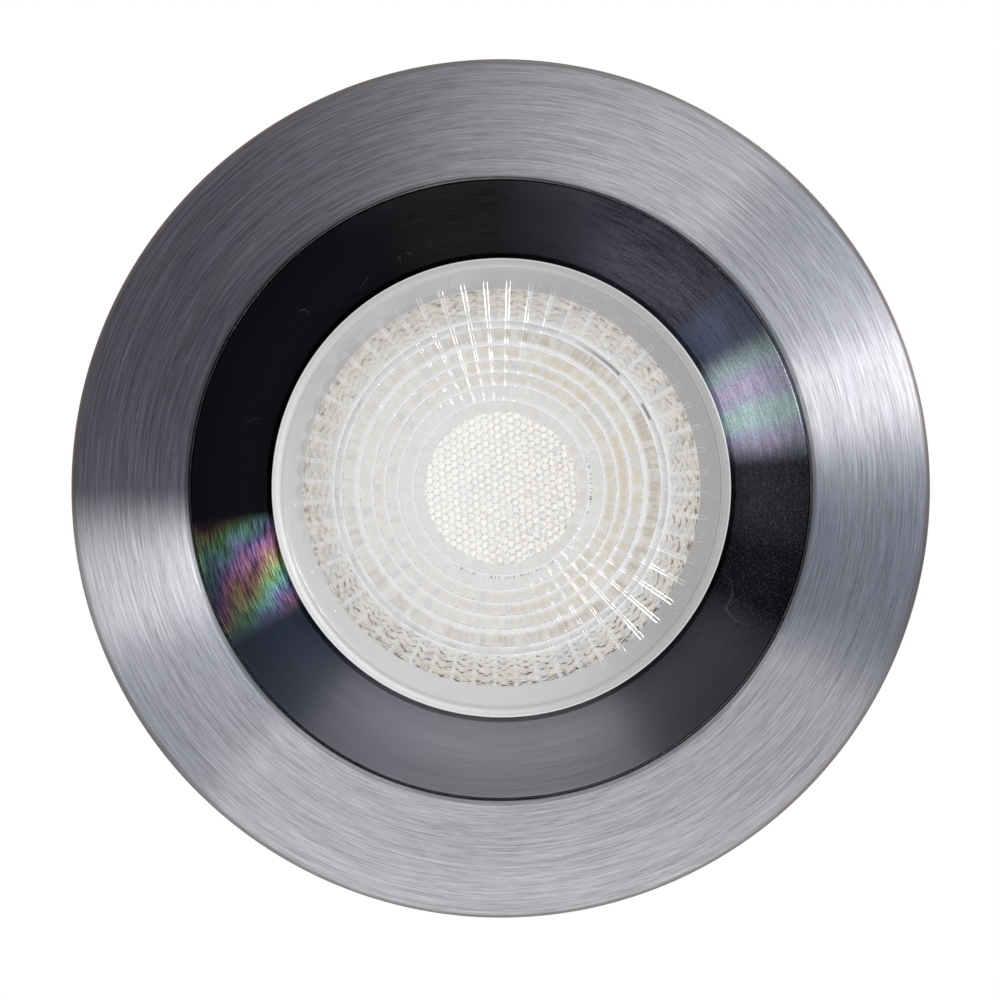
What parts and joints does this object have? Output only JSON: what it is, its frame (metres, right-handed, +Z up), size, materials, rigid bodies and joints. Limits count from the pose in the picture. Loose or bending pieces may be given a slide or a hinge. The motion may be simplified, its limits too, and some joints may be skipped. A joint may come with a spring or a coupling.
{
  "type": "recessed downlight",
  "caption": "Round recessed LED downlight: brushed trim, dark conical bezel, fluted clear lens, finned heat sink and two spring clips that hold it in a ceiling cut-out.",
  "frame": {"origin": "centre of the ceiling plane, on the trim's back face", "axes": "+Z up into the ceiling void along the light's axis, light leaves towards -Z, spring clips at +X and -X"},
  "size_m": [0.092, 0.092, 0.0675],
  "materials": {
    "trim_brushed_steel": "circular brushed",
    "bezel_black_chrome": "polished dark chrome with fine turning marks",
    "lens_clear": "clear moulded acrylic",
    "seal_rubber": "matt",
    "housing_aluminium": "fine cast, matt",
    "sink_aluminium": "cast, bead blasted",
    "cup_white": "matt white",
    "holder_white": "moulded",
    "lamp_ceramic": "white ceramic",
    "dam_silicone": "satin",
    "phosphor_yellow": "soft satin",
    "pad_grey": "matt",
    "terminal_white": "moulded",
    "lead_brown": "soft",
    "lead_blue": "soft",
    "cover_black": "fine texture",
    "gland_black": "moulded",
    "screw_zinc": "zinc plated",
    "clip_steel": "rolled strip",
    "spring_wire": "drawn wire"
  },
  "bodies": {
    "fitting": {"fascia_ring": "trim_brushed_steel", "ceiling_gasket": "seal_rubber", "fascia_screws": "screw_zinc", "front_bezel": "bezel_black_chrome", "lens": "lens_clear", "lens_gasket": "seal_rubber", "housing": "housing_aluminium", "reflector_cup": "cup_white", "cob_holder": "holder_white", "holder_screws": "screw_zinc", "cob_substrate": "lamp_ceramic", "cob_dam": "dam_silicone", "cob_phosphor": "phosphor_yellow", "thermal_pad": "pad_grey", "heat_sink": "sink_aluminium", "body_screws": "screw_zinc", "terminal_block": "terminal_white", "block_screw": "screw_zinc", "terminal_screws": "screw_zinc", "lead_live": "lead_brown", "lead_neutral": "lead_blue", "rear_cover": "cover_black", "cover_seal": "seal_rubber", "cover_screws": "screw_zinc", "gland_body": "gland_black", "gland_locknut": "gland_black", "gland_seal": "seal_rubber", "gland_cap": "gland_black", "bracket_screws": "screw_zinc", "clip_bracket_right": "clip_steel", "clip_bracket_left": "clip_steel", "clip_pin_right": "screw_zinc", "clip_pin_left": "screw_zinc", "clip_spring_right": "spring_wire", "clip_spring_left": "spring_wire"},
    "clip_right": {"clip_arm_right": "clip_steel"},
    "clip_left": {"clip_arm_left": "clip_steel"}
  },
  "joints": [
    {"name": "clip_right_fold", "type": "hinge", "parent": "fitting", "child": "clip_right", "pos_m": [0.0334, 0, 0.0165], "axis": [0, -1, 0], "range_deg": [0, 134], "stiffness_Nm_per_rad": 0.03, "springref_deg": -45.84, "deforming": ["clip_spring_right"]},
    {"name": "clip_left_fold", "type": "hinge", "parent": "fitting", "child": "clip_left", "pos_m": [-0.0334, 0, 0.0165], "axis": [0, 1, 0], "range_deg": [0, 134], "stiffness_Nm_per_rad": 0.03, "springref_deg": -45.84, "deforming": ["clip_spring_left"]}
  ]
}
